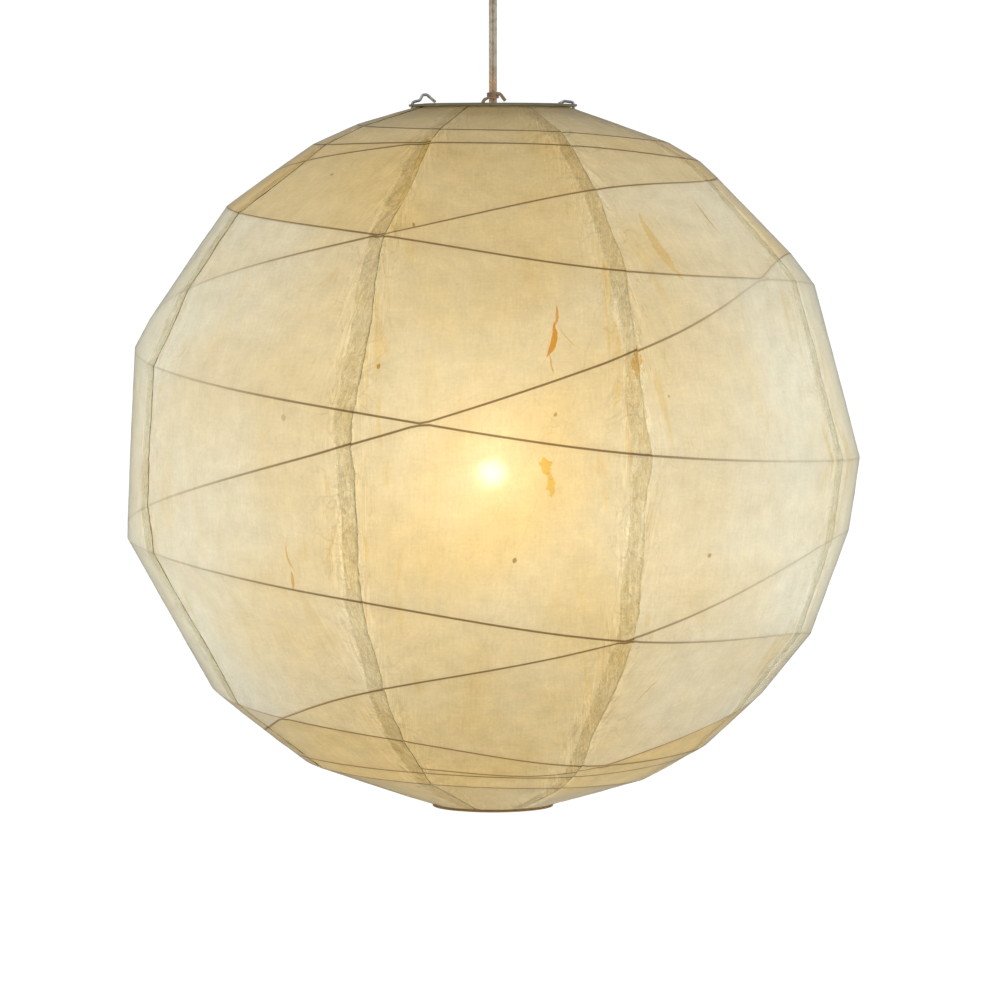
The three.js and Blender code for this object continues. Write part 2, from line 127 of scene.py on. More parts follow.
# ---------- node helpers ----------
class Nodes:
    """A material's node tree, with short ways to add nodes and join them."""

    def __init__(self, name):
        self.material = bpy.data.materials.new(name)
        self.material.use_nodes = True
        self.tree = self.material.node_tree
        self.tree.nodes.clear()

    def add(self, kind, values=None, **settings):
        node = self.tree.nodes.new("ShaderNode" + kind)
        for key, value in settings.items():
            setattr(node, key, value)
        for key, value in (values or {}).items():
            self.put(value, node.inputs[key])
        return node

    def shader(self, kind, values):
        return self.add(kind, values).outputs[0]

    def blend(self, share, a, b):
        """Two shaders mixed, with the given share of the second one."""
        return self.shader("MixShader", {0: share, 1: a, 2: b})

    def object_place(self):
        return self.add("TexCoord").outputs["Object"]

    def layer(self, name):
        return self.add("UVMap", uv_map=name).outputs[0]

    def parts(self, vector):
        return self.add("SeparateXYZ", {0: vector}).outputs

    def put(self, value, socket):
        if isinstance(value, bpy.types.NodeSocket):
            self.tree.links.new(value, socket)
        else:
            colour = socket.type == "RGBA"
            socket.default_value = (*value, 1.0) if colour else value

    def math(self, operation, a, b=0.0, clamp=False):
        node = self.add("Math", {0: a, 1: b}, operation=operation, use_clamp=clamp)
        return node.outputs[0]

    def times(self, a, b):
        return self.math("MULTIPLY", a, b)

    def minus(self, a, b, clamp=False):
        return self.math("SUBTRACT", a, b, clamp)

    def plus(self, a, b, clamp=False):
        return self.math("ADD", a, b, clamp)

    def away(self, value, middle):
        return self.math("ABSOLUTE", self.minus(value, middle))

    def line(self, value, middle, width):
        """1 where value is middle, and down to 0 where it is width away from it."""
        return self.ramp(self.away(value, middle), 0.0, width, 1.0, 0.0)

    def ramp(self, value, low, high, to_low=0.0, to_high=1.0, smooth=True):
        """value mapped from low..high to to_low..to_high, and held there outside."""
        kind = "SMOOTHSTEP" if smooth else "LINEAR"
        sizes = {0: value, 1: low, 2: high, 3: to_low, 4: to_high}
        return self.add("MapRange", sizes, interpolation_type=kind).outputs[0]

    def mix(self, factor, a, b, blend="MIX"):
        node = self.add("Mix", data_type="RGBA", blend_type=blend)
        for index, value in ((0, factor), (6, a), (7, b)):
            self.put(value, node.inputs[index])
        return node.outputs[2]

    def noise(self, vector, scale, detail=3.0, rough=0.55, distort=0.0):
        sizes = {"Vector": vector, "Scale": scale, "Detail": detail,
                 "Roughness": rough, "Distortion": distort}
        return self.add("TexNoise", sizes).outputs[0]

    def stretched(self, vector, x, y, z=1.0):
        return self.add("Mapping", {"Vector": vector, "Scale": (x, y, z)}).outputs[0]

    def bump(self, height, strength, distance):
        sizes = {"Height": height, "Strength": strength, "Distance": distance}
        return self.add("Bump", sizes).outputs[0]

    def end(self, shader):
        output = self.add("OutputMaterial")
        self.tree.links.new(shader, output.inputs["Surface"])
        return self.material


def held(value):
    """The value, held between 0 and 1."""
    return max(0.0, min(1.0, value))


def grained(name, base, worn, scale=160.0, roughness=(0.35, 0.55), metallic=0.0,
            stretch=(1, 1, 1), bump=0.15, depth=0.1 * MM, coat=0.0):
    """An opaque finish: mottled colour, uneven gloss and a fine grain."""
    n = Nodes(name)
    along = n.stretched(n.object_place(), *stretch)
    broad = n.noise(along, scale * 0.25, 3.0)
    fine = n.noise(along, scale * 6, 4.0, 0.6)
    wear = n.ramp(n.plus(n.times(broad, 0.7), n.times(fine, 0.3)), 0.38, 0.66)
    return n.end(n.shader("BsdfPrincipled", {
        "Base Color": n.mix(wear, base, worn),
        "Roughness": n.ramp(fine, 0.3, 0.7, *roughness),
        "Metallic": metallic,
        "Coat Weight": coat,
        "Normal": n.bump(fine, bump, depth),
    }))


def emission(name, colour, strength):
    n = Nodes(name)
    return n.end(n.shader("Emission", {"Color": colour, "Strength": strength}))


# ---------- mesh helpers ----------
def make(name, points, faces, material, body=None, slot=None, replaces=()):
    mesh = bpy.data.meshes.new(name)
    mesh.from_pydata([tuple(p) for p in points], [], faces)
    mesh.materials.append(material)
    mesh.polygons.foreach_set("use_smooth", [True] * len(faces))
    mesh.update()
    piece = bpy.data.objects.new(name, mesh)
    bpy.context.scene.collection.objects.link(piece)
    if body:
        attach(piece, body)
    if replaces:
        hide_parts(*replaces)
    return piece


def round_section(radius, sides=12):
    turns = [2 * math.pi * i / sides for i in range(sides)]
    return [(radius * math.cos(a), radius * math.sin(a)) for a in turns]


def outward(shape):
    """The same shape with its faces pointing out of the solid."""
    points, faces = shape
    volume = 0.0
    for face in faces:
        a = Vector(points[face[0]])
        for j, k in zip(face[1:], face[2:]):
            volume += a.dot(Vector(points[j]).cross(Vector(points[k])))
    if volume < 0:
        faces = [tuple(reversed(face)) for face in faces]
    return points, faces


def sweep(points, section, closed=False, side=None, scales=None):
    """A section carried along a line of points without twist: (points, faces)."""
    line = [Vector(p) for p in points]
    last = len(line) - 1
    tangents = []
    for i in range(len(line)):
        before = line[(i - 1) % len(line)] if closed else line[max(i - 1, 0)]
        after = line[(i + 1) % len(line)] if closed else line[min(i + 1, last)]
        tangents.append((after - before).normalized())
    across = Vector(side) if side else tangents[0].orthogonal()
    rings = []
    for i, (point, tangent) in enumerate(zip(line, tangents)):
        across = (across - across.dot(tangent) * tangent).normalized()
        up = tangent.cross(across)
        size = scales[i] if scales else 1.0
        rings.append([point + size * (a * across + b * up) for a, b in section])
    count = len(section)
    found = [p for ring in rings for p in ring]
    faces = []
    for i in range(len(line) if closed else last):
        here, there = i * count, ((i + 1) % len(line)) * count
        for j in range(count):
            k = (j + 1) % count
            faces.append((here + j, here + k, there + k, there + j))
    if not closed:
        faces.append(tuple(range(count - 1, -1, -1)))
        faces.append(tuple(last * count + j for j in range(count)))
    return outward((found, faces))


def bent(points, radius, steps=5):
    """The points joined by straight lines, with each corner bent to a radius."""
    line = [Vector(p) for p in points]
    found = [line[0]]
    for before, corner, after in zip(line, line[1:], line[2:]):
        back, ahead = before - corner, after - corner
        half = back.angle(ahead) / 2
        reach = min(radius / math.tan(half), 0.49 * back.length, 0.49 * ahead.length)
        start, end = corner + reach * back.normalized(), corner + reach * ahead.normalized()
        for i in range(steps + 1):
            t = i / steps
            found.append((1 - t) ** 2 * start + 2 * t * (1 - t) * corner + t * t * end)
    found.append(line[-1])
    return found


def outline_of(node):
    """A turned CAD node's outline as (radius, height) points, and if it is closed."""
    mesh = frame["nodes"][node].data
    raw = np.array([v.co for v in mesh.vertices], float)
    spots, index = np.unique(np.round(raw, 6), axis=0, return_inverse=True)
    index = index.ravel()
    radius = np.hypot(spots[:, 0], spots[:, 1])
    azimuth = np.degrees(np.arctan2(spots[:, 0], -spots[:, 1]))
    axis = radius < 1e-5
    choices, counts = np.unique(np.round(azimuth[~axis], 0), return_counts=True)
    full = choices[counts >= counts.max()]
    chosen = full[np.argmin(np.abs(full))]
    inside = axis | (np.abs(azimuth - chosen) < 1.0)
    near = {}
    for face in mesh.polygons:
        ring = [int(index[v]) for v in face.vertices]
        for a, b in zip(ring, ring[1:] + ring[:1]):
            if a != b and inside[a] and inside[b]:
                near.setdefault(a, set()).add(b)
                near.setdefault(b, set()).add(a)
    ends = sorted(i for i in near if len(near[i]) == 1)
    chain = [max(ends, key=lambda i: spots[i][2]) if ends else min(near)]
    while ahead := [i for i in near[chain[-1]] if i not in chain]:
        chain.append(min(ahead))
    return [(radius[i], spots[i][2]) for i in chain], not ends


def turn(outline, closed, segments=96):
    """A solid of revolution about Z from an outline: (points, faces)."""
    points, rings = [], []
    for radius, height in outline:
        if radius < 1e-6:
            rings.append([len(points)] * segments)
            points.append((0, 0, height))
            continue
        rings.append(list(range(len(points), len(points) + segments)))
        for i in range(segments):
            a = 2 * math.pi * i / segments
            points.append((radius * math.sin(a), -radius * math.cos(a), height))
    pairs = list(zip(rings, rings[1:]))
    if closed:
        pairs.append((rings[-1], rings[0]))
    faces = []
    for upper, lower in pairs:
        for i in range(segments):
            k = (i + 1) % segments
            face = (upper[i], lower[i], lower[k], upper[k])
            faces.append(tuple(dict.fromkeys(face)))
    return points, faces


def rounded(outline, closed, radius):
    """An outline with its corners rounded off."""
    points = [Vector((r, 0, z)) for r, z in outline]
    if closed:
        middle = (points[0] + points[-1]) / 2
        points = [middle, *points, middle]
    line = bent(points, radius, 3)
    return [(p.x, p.z) for p in (line[:-1] if closed else line)]


def turned_piece(name, node, material, slot, radius, body="lantern", segments=96):
    """A fine, rounded copy of a turned CAD node, which it stands for."""
    outline, closed = outline_of(node)
    shape = outward(turn(rounded(outline, closed, radius), closed, segments))
    return make(name, *shape, material, body, slot, [node])


def ring_shape(radius, level, wire, count=96):
    turns = [2 * math.pi * i / count for i in range(count)]
    line = [Vector((radius * math.sin(a), -radius * math.cos(a), level)) for a in turns]
    return sweep(line, round_section(wire), closed=True)


# ---------- cord ----------
CORD_WIDTH = 6 * MM
CORD_EXIT = (0, 0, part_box("holder_cap")[1].z)
CORD_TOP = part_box("flex_cord")[1].z
TIE_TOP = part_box("cord_tie")[1].z
cord_foot = CORD_EXIT[2] + 1 * MM
CORD_POINTS = [(0, 0, cord_foot + (CORD_TOP - cord_foot) * i / 24) for i in range(25)]


def twin_section():
    """The outline of a two-core flat flex: two round cores with a web between them."""
    core = CORD_WIDTH * 0.27
    reach = CORD_WIDTH / 2 - core
    right = [math.radians(-150 + 300 * i / 12) for i in range(13)]
    half = [(reach + core * math.cos(a), core * math.sin(a)) for a in right]
    return half + [(-x, -y) for x, y in half]


def cord_material():
    """Clear grey-brown plastic over two stranded copper cores."""
    n = Nodes("clear_flex")
    place = n.object_place()
    x, _, z = n.parts(place)
    core = n.ramp(n.away(n.math("ABSOLUTE", x), 1.4 * MM), 0.5 * MM, 1.4 * MM, 1.0, 0.0)
    lay = n.plus(n.times(z, 1900.0), n.times(x, 2600.0))
    strands = n.ramp(n.math("SINE", lay), -1.0, 1.0, 0.55, 1.0)
    cloud = n.noise(place, 220.0, 3.0)
    copper = n.mix(strands, (0.34, 0.15, 0.05), (0.86, 0.46, 0.20))
    jacket = n.mix(n.ramp(cloud, 0.35, 0.65), (0.50, 0.45, 0.33), (0.72, 0.67, 0.54))
    # Painted light: the copper cores show brightly from just above the tie down, for the bulb's
    # light shining up through the clear jacket, and faintly higher up.
    painted_bulb_glow = n.ramp(z, TIE_TOP, TIE_TOP + 30 * MM, 0.85, 0.22)
    return n.end(n.shader("BsdfPrincipled", {
        "Base Color": n.mix(n.times(core, painted_bulb_glow), jacket, copper),
        "Roughness": n.ramp(cloud, 0.3, 0.7, 0.22, 0.38),
        "Coat Weight": 0.5,
        "Normal": n.bump(n.noise(n.stretched(place, 1, 1, 0.1), 900.0), 0.12, 0.1 * MM),
    }))


flex = make("twin_flex", *sweep(CORD_POINTS, twin_section(), side=(1, 0, 0)),
            cord_material(), "cord", "cord_jacket", ["flex_cord"])


# ---------- stage and light ----------
def only_seen(thing):
    """A stage piece that the camera sees and that sheds no light on the lantern."""
    for ray in ("diffuse", "glossy", "transmission", "volume_scatter", "shadow"):
        setattr(thing, "visible_" + ray, False)


FLOOR_HEIGHT = -5.0
STAGE_RADIUS = 11.5
FLOOR_RADIUS = 7.0
white = emission("studio_white", (1, 1, 1), 1.05)
dome_turns = [math.radians(a) for a in range(90, -91, -6)]
dome_line = [(abs(STAGE_RADIUS * math.cos(a)), STAGE_RADIUS * math.sin(a)) for a in dome_turns]
only_seen(make("backdrop", *turn(dome_line, False, 64), white))


def floor_material():
    n = Nodes("pale_floor")
    place = n.object_place()
    tone = n.ramp(n.noise(place, 3.0, 4.0), 0.3, 0.7)
    pale = n.mix(tone, (0.80, 0.79, 0.77), (0.85, 0.84, 0.82))
    x, y, _ = n.parts(place)
    away = n.math("POWER", n.plus(n.math("POWER", x, 2.0), n.math("POWER", y, 2.0)), 0.5)
    pale = n.mix(n.ramp(away, 1.5, FLOOR_RADIUS - 0.3), pale, (1.24, 1.24, 1.24))
    glow = n.shader("Emission", {"Color": pale, "Strength": 0.85})
    matt = n.shader("BsdfPrincipled", {"Base Color": pale, "Roughness": 0.8})
    return n.end(n.blend(0.25, glow, matt))


floor = [(0, FLOOR_HEIGHT + 0.002), (FLOOR_RADIUS, FLOOR_HEIGHT), (0, FLOOR_HEIGHT - 0.01)]
only_seen(make("floor", *turn(floor, False, 96), floor_material()))

world = bpy.data.worlds.new("studio")
bpy.context.scene.world = world
world.use_nodes = True
sky = world.node_tree.nodes["Background"].inputs
sky["Color"].default_value = (0.93, 0.97, 1.0, 1.0)
sky["Strength"].default_value = 0.5


def lamp(name, kind, place, power, colour, **sizes):
    data = bpy.data.lights.new(name, kind)
    data.energy = power
    data.color = colour
    for key, value in sizes.items():
        setattr(data, key, value)
    light = bpy.data.objects.new(name, data)
    light.location = place
    bpy.context.scene.collection.objects.link(light)
    return light


for name, place, power in (
    ("softbox_left", (-2.2, -2.6, 1.2), 17),
    ("softbox_right", (2.4, -2.2, 0.6), 11),
):
    box_light = lamp(name, "AREA", place, power, (1, 1, 1), shape="DISK", size=1.8)
    box_light.rotation_euler = (CENTRE - Vector(place)).to_track_quat("-Z", "Y").to_euler()

BULB = CENTRE + Vector((0, 0, -7 * MM))
WARM = (1.0, 0.86, 0.62)
BULB_BODY = frame["bodies"]["bulb"]
for name, power, size in (("glass_glow", 2.8, 27 * MM), ("filament_glow", 1.0, 8 * MM)):
    glow = lamp(name, "POINT", BULB, power, WARM, shadow_soft_size=size)
    glow.parent = BULB_BODY


# ---------- ribs, from the frame ----------
def rib_line(node):
    """A CAD rib's centre line: its radius and level at each step of its winding."""
    start, way = RIBS[node]
    spots = corners(node)
    azimuth = np.degrees(np.arctan2(spots[:, 0], -spots[:, 1]))
    step = np.round(way * (azimuth - start) / RIB_STEP).astype(int) % STEPS_A_TURN
    found = {}
    for s in range(STEPS_A_TURN):
        here = spots[step == s]
        here = here[np.argsort(-here[:, 2])]
        for turn_number in range(len(here) // 4):
            ring = here[4 * turn_number:4 * turn_number + 4]
            radius = np.hypot(ring[:, 0], ring[:, 1]).mean()
            found[s + STEPS_A_TURN * turn_number] = (radius, ring[:, 2].mean() - CENTRE.z)
    return np.array([found[i] for i in range(len(found))])


def along(values, at):
    """Values at even steps, read between the steps by a Catmull-Rom curve."""
    i = np.clip(np.floor(at).astype(int), 0, len(values) - 2)
    t = at - i
    padded = np.concatenate([2 * values[:1] - values[1:2], values, 2 * values[-1:] - values[-2:-1]])
    a, b, c, d = (padded[i + k] for k in range(4))
    return b + 0.5 * t * (c - a + t * (2 * a - 5 * b + 4 * c - d + t * (3 * (b - c) + d - a)))


LINES = {name: rib_line(name) for name in RIBS}


def around(radius, azimuth, level):
    a = math.radians(azimuth)
    return Vector((radius * math.sin(a), -radius * math.cos(a), CENTRE.z + level))


# ---------- paper ----------
def lap_at(level):
    """How far a gore reaches past its seam: less towards the rims."""
    return LAP + (RIM_LAP - LAP) * (level / TOP_RIM[1]) ** 2


def edge_turn(radius, level):
    """The angle in degrees from a gore's middle to its edge."""
    return GORE_ANGLE / 2 + math.degrees(lap_at(level) / radius)


def crossing_points(share, middle):
    """Where the ribs pass a gore's meridian: arrays of azimuth, radius and level,
    from the top. share is -1 at the gore's left edge and +1 at its right edge."""
    rows = []
    for name, (start, way) in RIBS.items():
        line = LINES[name]
        before = math.floor(way * (middle - start) / 360)
        for turn_number in range((len(line) - 1) // STEPS_A_TURN):
            radius, level = 0.2, 0.0
            for _ in range(5):
                azimuth = middle + share * edge_turn(radius, level)
                at = (way * (azimuth - start) - 360 * before) / RIB_STEP
                at = np.array([at + STEPS_A_TURN * turn_number])
                radius = float(along(line[:, 0], at)[0])
                level = float(along(line[:, 1], at)[0])
            away = math.hypot(radius, level)
            lift = OVER_RIB / away
            rows.append((azimuth, radius * (1 + lift), level * (1 + lift)))
    return np.array(sorted(rows, key=lambda row: -row[2]))


TOP_RIM = (TOP_RING[0] - 0.6 * MM, TOP_RING[1] - CENTRE.z + 3 * MM)
BOTTOM_RIM = (BOTTOM_RING[0] - 0.4 * MM, BOTTOM_RING[1] - CENTRE.z - RIM_DROP)
CLOSEST = 1.5 * MM  # the least drop from one knot of a meridian to the next
BESIDE_RIB = 1.3 * MM  # how far the first row of a panel lies from its rib
ROW_STEP = 6 * MM
SEAM_REACH = 45 * MM  # how far from a seam its puckers and stains go
FULL_WRINKLE = 30 * MM  # the least gap between two ribs that leaves wrinkles their full height


def meridian(share, middle):
    """The paper's knots down one meridian, from rim to rim, drawn tight over the ribs."""
    rims = []
    for radius, level in (TOP_RIM, BOTTOM_RIM):
        rims.append((middle + share * edge_turn(radius, level), radius, level))
    knots = np.vstack([rims[0], crossing_points(share, middle), rims[1]])
    for i in range(1, len(knots) - 1):
        knots[i, 2] = min(knots[i, 2], knots[i - 1, 2] - CLOSEST)
    tight = [0]
    for i in range(1, len(knots)):
        while len(tight) > 1 and not turns_out(knots[tight[-2]], knots[tight[-1]], knots[i]):
            tight.pop()
        tight.append(i)
    for a, b in zip(tight, tight[1:]):
        for i in range(a + 1, b):
            part = (knots[i, 2] - knots[a, 2]) / (knots[b, 2] - knots[a, 2])
            knots[i, 1] = knots[a, 1] + part * (knots[b, 1] - knots[a, 1])
    return knots


def turns_out(a, b, c):
    """True where b stands outside the line from a down to c."""
    return (b[1] - a[1]) * (c[2] - a[2]) - (b[2] - a[2]) * (c[1] - a[1]) < 0


def panel_rows(length):
    """Shares of the way from one rib to the next, with rows close to both ribs."""
    near = min(BESIDE_RIB / length, 0.2)
    count = max(2, round(length / ROW_STEP))
    inner = [near + (1 - 2 * near) * i / count for i in range(count + 1)]
    return [0.0, *inner]


EDGE_SHARES = [0.0, 0.022, 0.045, 0.068, 0.092, 0.12, 0.15, 0.185, 0.225, 0.27]
SHARES = [s - 1 for s in EDGE_SHARES] + list(np.linspace(-0.69, 0.69, 24))
SHARES += [1 - s for s in reversed(EDGE_SHARES)]


def edge_waver(seam, level):
    """How far a torn gore edge strays from its straight line, as a share of the lap."""
    slow = noise.noise(Vector((level * 26, seam * 3.1, 0.3)))
    quick = noise.noise(Vector((level * 150, seam * 3.1, 7.7)))
    return 0.55 * slow + 0.16 * quick


def crease(azimuth, level, seed):
    """The height of the paper's wrinkles, from about -1 to 1."""
    side = math.radians(azimuth) * 0.27
    warp = 0.02 * noise.noise(Vector((side * 18, level * 18, seed)))
    broad = noise.noise(Vector((side * 14, level * 9, seed)))
    ridge = 1 - abs(2 * noise.noise(Vector((side * 55 + warp * 40, level * 38, seed + 5))))
    return 0.6 * broad + 0.45 * ridge ** 3


class Gore:
    """One paper gore: a thin closed sheet that laps its neighbours at both seams."""

    def __init__(self, index):
        self.index = index
        self.middle = FIRST_SEAM + GORE_ANGLE * (index + 0.5)
        self.dice = random.Random(400 + index)
        knots = np.array([meridian(share, self.middle) for share in SHARES])
        self.panels = knots.shape[1] - 1
        rows, self.panel_of_row, self.part_of_row = [], [], []
        for k in range(self.panels):
            gap = np.hypot(*(knots[:, k + 1, 1:] - knots[:, k, 1:]).T).max()
            for part in panel_rows(gap):
                rows.append(knots[:, k] + part * (knots[:, k + 1] - knots[:, k]))
                self.panel_of_row.append(k)
                self.part_of_row.append(part)
        rows.append(knots[:, -1])
        self.panel_of_row.append(self.panels - 1)
        self.part_of_row.append(1.0)
        self.grid = np.array(rows)  # row, column, (azimuth, radius, level)
        self.gaps = np.hypot(*(knots[:, 1:, 1:] - knots[:, :-1, 1:]).transpose(2, 0, 1))

    def skins(self):
        """Outer and inner skin points, and the paint values of the outer ones."""
        height, width, _ = self.grid.shape
        outer, inner, paint = [], [], []
        for r in range(height):
            free = math.sin(math.pi * self.part_of_row[r])
            for c in range(width):
                azimuth, radius, level = self.grid[r, c]
                turn_from_middle = azimuth - self.middle
                past = (abs(turn_from_middle) - GORE_ANGLE / 2) * math.radians(1) * radius
                left = turn_from_middle < 0
                seam = (self.index + (0 if left else 1)) % GORES
                stray = edge_waver(seam + (0.5 if left else 0.0), level)
                lap = lap_at(level)
                if past > -3 * lap:
                    reach = held((past + 3 * lap) / (4 * lap))
                    shift = math.degrees(reach * stray * lap / radius)
                    azimuth += -shift if left else shift
                    past += reach * stray * lap
                cover = lap * (1 + edge_waver(seam, level))
                under = (cover + past) if left else -lap  # depth below the neighbour's edge
                near_seam = max(0.0, 1 - max(0.0, -past) / SEAM_REACH)
                panel = self.panel_of_row[r]
                room = min(1.0, self.gaps[c, panel] / FULL_WRINKLE)
                wrinkle = crease(azimuth, level, 3 * self.index)
                lift = free * room * (0.5 + 0.8 * near_seam) * wrinkle * MM
                if left:
                    sink = held((under + 4 * MM) / (4 * MM))
                    lift = lift * (1 - sink) - sink * UNDER_LAP
                elif past > 0:
                    lift += 0.12 * MM * (1 + noise.noise(Vector((level * 90, seam, 2))))
                long = math.hypot(radius, level)
                for skin, depth in ((outer, 0.0), (inner, PAPER)):
                    grow = 1 + (lift - depth) / long
                    skin.append(around(radius * grow, azimuth, level * grow))
                part, gap = self.part_of_row[r], self.gaps[c, panel]
                above = part * gap if panel > 0 else LAP
                below = (1 - part) * gap if panel < self.panels - 1 else LAP
                paint.append((azimuth, level, under, near_seam, radius, min(above, below)))
        return outer, inner, np.array(paint)

    def tones(self):
        """For each panel, how much it has the caps' tan, and how far it strays from it."""
        found = []
        for k in range(self.panels):
            rows = [r for r, panel in enumerate(self.panel_of_row) if panel == k]
            level = self.grid[rows, :, 2].mean() / TOP_RIM[1]
            cap = held((abs(level) - CAP_START) / (CAP_END - CAP_START))
            found.append((cap, GORE_TONES[self.index] + self.dice.uniform(-0.03, 0.03)))
        return found

    def build(self, materials):
        height, width, _ = self.grid.shape
        outer, inner, paint = self.skins()
        count = height * width
        faces, liner, panel = [], [], []
        tones = self.tones()

        def add(face, material, tone):
            faces.append(face)
            liner.append(material)
            panel.append(tone)

        for r in range(height - 1):
            tone = tones[self.panel_of_row[r]]
            for c in range(width - 1):
                a, b = r * width + c, (r + 1) * width + c
                add((a, b, b + 1, a + 1), 0, tone)
                add((count + a, count + a + 1, count + b + 1, count + b), 1, tone)
            for c, flip in ((0, False), (width - 1, True)):
                a, b = r * width + c, (r + 1) * width + c
                edge = (a, count + a, count + b, b)
                add(tuple(reversed(edge)) if flip else edge, 1, tone)
        for r, flip in ((0, False), (height - 1, True)):
            for c in range(width - 1):
                a = r * width + c
                edge = (a, a + 1, count + a + 1, count + a)
                add(tuple(reversed(edge)) if flip else edge, 1, tones[self.panel_of_row[r]])
        number = self.index + 1
        piece = make(f"gore_{number}", outer + inner, faces, materials[0], "lantern", "paper",
                     [f"paper_gore_{number}"])
        mesh = piece.data
        mesh.materials.append(materials[1])
        mesh.polygons.foreach_set("material_index", liner)
        self.paint(mesh, np.vstack([paint, paint]), np.array(panel))
        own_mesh(piece)
        return piece

    def paint(self, mesh, paint, panel):
        """Writes the sheet and place coordinates and the paint layer."""
        vertex = np.zeros(len(mesh.loops), int)
        mesh.loops.foreach_get("vertex_index", vertex)
        owner = np.repeat(np.arange(len(mesh.polygons)), [p.loop_total for p in mesh.polygons])
        azimuth, level, under, near_seam, radius, rib_away = paint[vertex].T
        across = np.radians(azimuth - self.middle) * radius
        down = -REACH * np.arcsin(np.clip(level / REACH, -1, 1)) + self.index * SHEET_APART
        sheet = mesh.uv_layers.new(name="sheet")
        sheet.data.foreach_set("uv", np.stack([across, down], 1).ravel())
        place = mesh.uv_layers.new(name="place")
        place.data.foreach_set("uv", np.stack([azimuth / 100, level], 1).ravel())
        lines = mesh.uv_layers.new(name="lines")
        lines.data.foreach_set("uv", np.stack([rib_away / MM, np.zeros(len(vertex))], 1).ravel())
        layer = mesh.color_attributes.new("paint", "FLOAT_COLOR", "CORNER")
        cap, stray = panel[owner].T
        # Painted light: the belt's tan fades to pale towards the sides, where the room's light on
        # the paper outweighs the bulb's.
        belt = BELT_TAN * np.cos(np.radians(azimuth)) ** 2
        tan = np.clip(belt + cap * (CAP_TAN - belt) + stray, 0, 1)
        colour = np.stack([tan, under / MM, near_seam, np.ones(len(vertex))], 1)
        layer.data.foreach_set("color", colour.ravel())


REACH = 0.268  # from the globe's middle to its paper, at the belt
SHEET_APART = 0.9  # keeps one gore's fibres from going on in the next gore
BELT_TAN = 0.62  # the tan share at the front and the back of the belt
CAP_TAN = 0.68  # the tan share of the panels close to the rims
CAP_START, CAP_END = 0.6, 0.76  # shares of the way from the middle to the top rim
CAP_EDGE = (0.14, 0.18)  # the levels between which the belt's stains fade out
GORE_TONES = [0.02, 0.0, 0.0, 0.0, -0.06, 0.0, 0.04, -0.03]
RIB_PIECES = ["long_spiral_rib", "outer_crossing_rib", "inner_crossing_rib"]


def stroke(n, place, warp, azimuth, level, angle, length, width, bend):
    """A mask for one fibre lying in the paper. Sizes are in millimetres."""
    shifted = n.add("Mapping", {
        "Vector": place,
        "Location": (-azimuth / 100, -level * MM, 0),
    }).outputs[0]
    scaled = n.stretched(shifted, 100 * math.radians(1) * 262, 1000)
    tilt = (0, 0, math.radians(angle))
    turned = n.add("Mapping", {"Vector": scaled, "Rotation": tilt}).outputs[0]
    x, y, _ = n.parts(turned)
    side = n.plus(n.minus(x, n.times(n.times(y, y), bend / 100)), warp)
    reach = n.math("DIVIDE", n.math("ABSOLUTE", y), length / 2)
    taper = n.times(n.minus(1.0, n.math("POWER", reach, 2.0), True), width / 2)
    return n.ramp(n.minus(taper, n.math("ABSOLUTE", side)), -0.25, 0.35)


def paper_grain(n, sheet, pulp):
    """The sheet's faint unevenness: along it, across it, in clouds and in its pulp."""
    along = n.noise(n.stretched(sheet, 620, 60), 1.0, 3.0)
    across = n.noise(n.stretched(sheet, 60, 620), 1.0, 3.0)
    mottle = n.noise(sheet, 60.0, 4.0, 0.6)
    grain = 0.0
    for field, depth in ((along, 0.026), (across, 0.018), (mottle, 0.05), (pulp, 0.03)):
        grain = n.plus(grain, n.ramp(field, 0.3, 0.7, -depth, depth, smooth=False))
    return n.times(grain, 1.4)


def painted_light_by_level(n, level, tone):
    """Painted light and shade by level: brightest round the bulb's level, darker towards both rims
    but lighter again just under the top rim, and a little darker in the caps.
    """
    light = n.times(n.ramp(level, -0.20, -0.06, 0.87, 1.12), n.ramp(level, 0.02, 0.19, 1.0, 0.85))
    light = n.times(light, n.ramp(level, 0.222, 0.25, 1.0, 1.2))
    return n.times(light, n.ramp(tone, BELT_TAN, CAP_TAN, 1.0, 0.97))


def streaks(n, sheet, near_seam, level):
    """Paste stains: tan streaks down the sheet, beside the seams of the belt."""
    streak = n.ramp(n.noise(n.stretched(sheet, 55, 11), 1.0, 3.0, 0.55, 0.5), 0.56, 0.66)
    streak = n.times(streak, n.ramp(near_seam, 0.0, 0.5, 0.2, 0.75))
    return n.times(streak, n.ramp(n.math("ABSOLUTE", level), *CAP_EDGE, 1.0, 0.12))


def chips(n, sheet):
    """Small bark chips, one in some of the cells of a net."""
    cells = n.add("TexVoronoi", {"Vector": sheet, "Scale": 26.0})
    chance = n.add("SeparateColor", {0: cells.outputs["Color"]}).outputs[0]
    chip = n.ramp(cells.outputs["Distance"], 0.03, 0.055, 1.0, 0.0)
    return n.times(chip, n.math("GREATER_THAN", chance, 0.90))


def marked(n, tint, sheet, place):
    """The tint with each of the listed marks worked into it."""
    field = n.noise(sheet, 110.0, 4.0, 0.65)
    rough_edge = n.ramp(field, 0.25, 0.75, -3.2, 3.2, smooth=False)
    soft_edge = n.ramp(field, 0.25, 0.75, -0.9, 0.9, smooth=False)
    for sizes, rough, colour, strength in MARKS.values():
        mask = stroke(n, place, rough_edge if rough else soft_edge, *sizes)
        tint = n.mix(n.times(mask, strength), tint, colour, "MULTIPLY")
    return tint


